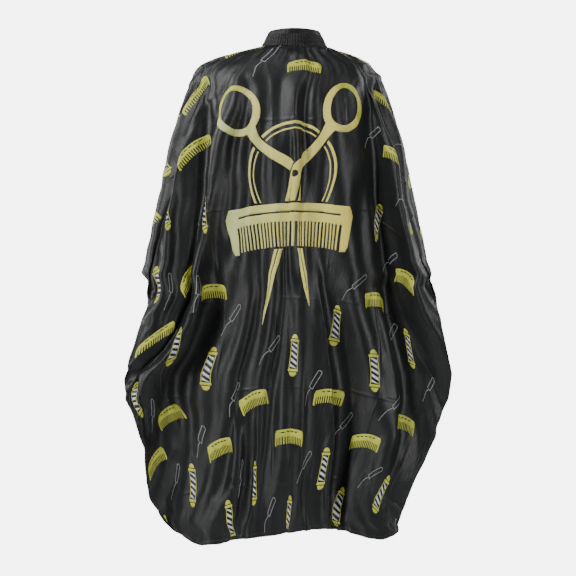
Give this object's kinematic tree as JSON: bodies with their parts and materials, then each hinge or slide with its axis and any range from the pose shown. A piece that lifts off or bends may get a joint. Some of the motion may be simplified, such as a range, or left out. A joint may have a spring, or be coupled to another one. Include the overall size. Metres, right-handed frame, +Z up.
{
  "type": "barber cape",
  "caption": "Hairdressing cape of satin polyester with a gathered elastic neck band, closed at the nape by a snap tab.",
  "frame": {"origin": "centre of the neckline, where the neck band is sewn to the cloth", "axes": "+Z up through the neck opening, front of the cape towards -Y, +X to the viewer's right"},
  "size_m": [0.794, 0.3094, 1.2527],
  "materials": {
    "cape_cloth": "satin woven polyester",
    "band_cloth": "gathered woven polyester",
    "elastic": "woven elastic",
    "thread": "twisted polyester thread",
    "stiffener": "non-woven interlining",
    "snap_plastic": "moulded acetal",
    "snap_metal": "nickel plated",
    "print_gold": "printed ink",
    "print_white": "printed ink",
    "print_grey": "printed ink"
  },
  "bodies": {
    "cape": {"cape_cloth": "cape_cloth", "hem_stitching": "thread", "neck_band_outer": "band_cloth", "neck_band_facing": "band_cloth", "neck_elastic": "elastic", "neck_band_stitching": "thread", "underlap_lining": "band_cloth", "underlap_stiffener": "stiffener", "underlap_outer": "band_cloth", "underlap_stitching": "thread", "overlap_root": "band_cloth", "snap_studs": "snap_metal", "stud_posts": "snap_metal"},
    "overlap_tab": {"overlap_lining": "band_cloth", "overlap_stiffener": "stiffener", "overlap_outer": "band_cloth", "overlap_stitching": "thread", "snap_cap": "snap_metal", "snap_socket": "snap_metal", "socket_spring": "snap_metal"}
  },
  "joints": [
    {"name": "tab_peel", "type": "hinge", "parent": "cape", "child": "overlap_tab", "pos_m": [-0.034, 0.05575, 0.02626], "axis": [0, -0.5476, 0.8368], "range_deg": [0, 110]}
  ]
}
